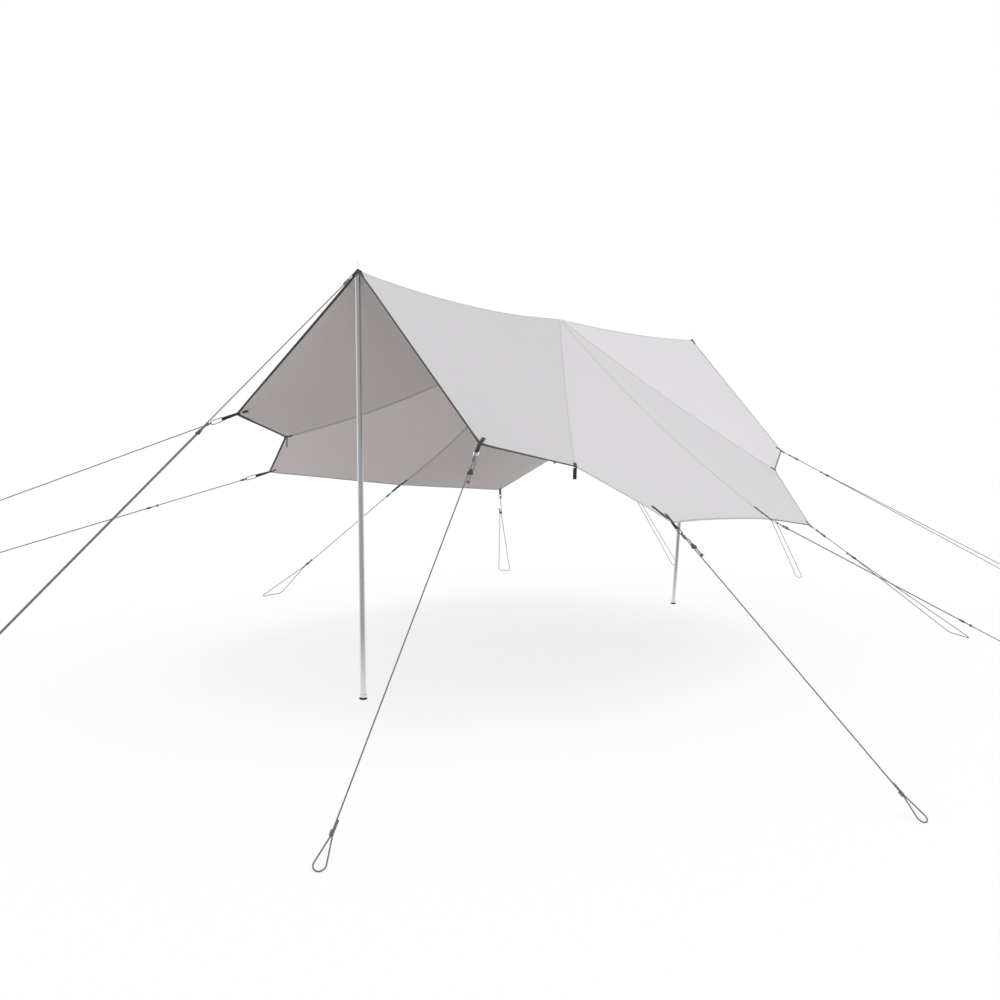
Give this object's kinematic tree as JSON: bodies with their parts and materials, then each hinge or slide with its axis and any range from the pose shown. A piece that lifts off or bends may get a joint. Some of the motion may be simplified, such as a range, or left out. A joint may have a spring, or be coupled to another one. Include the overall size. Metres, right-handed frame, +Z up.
{
  "type": "camping tarp",
  "caption": "Ridged camping tarp pitched on two poles, its scalloped grey cloth drawn out all round by guy lines with sliding tensioners",
  "frame": {"origin": "On the ground, midway between the two poles, under the ridge.", "axes": "+X along the ridge from the front pole to the rear pole, +Y to the far side of the cloth, +Z up."},
  "size_m": [9.4826, 7.2321, 2.4552],
  "materials": {
    "cloth": "coated woven polyester, matt, light warm grey",
    "hem_tape": "dark grey woven tape",
    "webbing": "black webbing with a steel ring sewn in",
    "aluminium_tube": "bright drawn tube",
    "pin": "turned steel",
    "foot_rubber": "moulded black rubber",
    "cord": "light grey braided cord",
    "slider_plastic": "black moulded plastic"
  },
  "bodies": {
    "tarp": {"near_1_panel": "cloth", "near_3_panel": "cloth", "near_4_panel": "cloth", "near_6_panel": "cloth", "near_front_hem": "hem_tape", "near_rear_hem": "hem_tape", "far_1_panel": "cloth", "far_3_panel": "cloth", "far_4_panel": "cloth", "far_6_panel": "cloth", "far_front_hem": "hem_tape", "far_rear_hem": "hem_tape", "front_pole_foot": "foot_rubber", "front_pole_lower_tube": "aluminium_tube", "front_pole_upper_tube": "aluminium_tube", "front_pole_pin": "pin", "rear_pole_foot": "foot_rubber", "rear_pole_lower_tube": "aluminium_tube", "rear_pole_upper_tube": "aluminium_tube", "rear_pole_pin": "pin", "front_peak_strap": "webbing", "rear_peak_strap": "webbing", "near_1_strap": "webbing", "near_3_strap": "webbing", "near_m_strap": "webbing", "near_4_strap": "webbing", "near_6_strap": "webbing", "far_1_strap": "webbing", "far_3_strap": "webbing", "far_m_strap": "webbing", "far_4_strap": "webbing", "far_6_strap": "webbing", "front_peak_guy": "cord", "rear_peak_guy": "cord", "near_1_guy": "cord", "near_3_guy": "cord", "near_m_guy": "cord", "near_4_guy": "cord", "near_6_guy": "cord", "far_1_guy": "cord", "far_3_guy": "cord", "far_m_guy": "cord", "far_4_guy": "cord", "far_6_guy": "cord"},
    "front_peak_tensioner": {"front_peak_slider": "slider_plastic"},
    "rear_peak_tensioner": {"rear_peak_slider": "slider_plastic"},
    "near_1_tensioner": {"near_1_slider": "slider_plastic"},
    "near_3_tensioner": {"near_3_slider": "slider_plastic"},
    "near_m_tensioner": {"near_m_slider": "slider_plastic"},
    "near_4_tensioner": {"near_4_slider": "slider_plastic"},
    "near_6_tensioner": {"near_6_slider": "slider_plastic"},
    "far_1_tensioner": {"far_1_slider": "slider_plastic"},
    "far_3_tensioner": {"far_3_slider": "slider_plastic"},
    "far_m_tensioner": {"far_m_slider": "slider_plastic"},
    "far_4_tensioner": {"far_4_slider": "slider_plastic"},
    "far_6_tensioner": {"far_6_slider": "slider_plastic"},
    "near_2_hanging_tab": {"near_2_tab": "webbing"},
    "near_5_hanging_tab": {"near_5_tab": "webbing"},
    "far_2_hanging_tab": {"far_2_tab": "webbing"},
    "far_5_hanging_tab": {"far_5_tab": "webbing"}
  },
  "joints": [
    {"name": "front_peak_tensioner_slide", "type": "slide", "parent": "tarp", "child": "front_peak_tensioner", "axis": [-0.7086, 0.124, -0.6946], "range_m": [-0.033, 0.045]},
    {"name": "rear_peak_tensioner_slide", "type": "slide", "parent": "tarp", "child": "rear_peak_tensioner", "axis": [0.7203, -0.0657, -0.6905], "range_m": [-0.033, 0.045]},
    {"name": "near_1_tensioner_slide", "type": "slide", "parent": "tarp", "child": "near_1_tensioner", "axis": [-0.7084, -0.2413, -0.6633], "range_m": [-0.033, 0.045]},
    {"name": "near_3_tensioner_slide", "type": "slide", "parent": "tarp", "child": "near_3_tensioner", "axis": [-0.3213, -0.7644, -0.559], "range_m": [-0.033, 0.045]},
    {"name": "near_m_tensioner_slide", "type": "slide", "parent": "tarp", "child": "near_m_tensioner", "axis": [0.5265, -0.7235, -0.4465], "range_m": [-0.033, 0.045]},
    {"name": "near_4_tensioner_slide", "type": "slide", "parent": "tarp", "child": "near_4_tensioner", "axis": [0.6399, -0.5478, -0.539], "range_m": [-0.033, 0.045]},
    {"name": "near_6_tensioner_slide", "type": "slide", "parent": "tarp", "child": "near_6_tensioner", "axis": [0.6583, -0.6257, -0.4186], "range_m": [-0.033, 0.045]},
    {"name": "far_1_tensioner_slide", "type": "slide", "parent": "tarp", "child": "far_1_tensioner", "axis": [-0.6104, 0.7015, -0.3679], "range_m": [-0.033, 0.045]},
    {"name": "far_3_tensioner_slide", "type": "slide", "parent": "tarp", "child": "far_3_tensioner", "axis": [-0.7386, 0.6016, -0.3043], "range_m": [-0.033, 0.045]},
    {"name": "far_m_tensioner_slide", "type": "slide", "parent": "tarp", "child": "far_m_tensioner", "axis": [-0.0734, 0.7994, -0.5963], "range_m": [-0.033, 0.045]},
    {"name": "far_4_tensioner_slide", "type": "slide", "parent": "tarp", "child": "far_4_tensioner", "axis": [0.7148, 0.4743, -0.5139], "range_m": [-0.033, 0.045]},
    {"name": "far_6_tensioner_slide", "type": "slide", "parent": "tarp", "child": "far_6_tensioner", "axis": [0.8365, 0.1077, -0.5373], "range_m": [-0.033, 0.045]},
    {"name": "near_2_tab_swing", "type": "hinge", "parent": "tarp", "child": "near_2_hanging_tab", "pos_m": [-1.56824, -1.1022, 1.34603], "axis": [0.8046, -0.5938, 0], "range_deg": [-40, 40]},
    {"name": "near_5_tab_swing", "type": "hinge", "parent": "tarp", "child": "near_5_hanging_tab", "pos_m": [1.56515, -1.03274, 1.27457], "axis": [0.8419, 0.5396, 0], "range_deg": [-40, 40]},
    {"name": "far_2_tab_swing", "type": "hinge", "parent": "tarp", "child": "far_2_hanging_tab", "pos_m": [-1.62271, 1.11733, 1.46059], "axis": [0.777, 0.6296, 0], "range_deg": [-40, 40]},
    {"name": "far_5_tab_swing", "type": "hinge", "parent": "tarp", "child": "far_5_hanging_tab", "pos_m": [1.58595, 1.07276, 1.31947], "axis": [0.8181, -0.5751, 0], "range_deg": [-40, 40]}
  ]
}
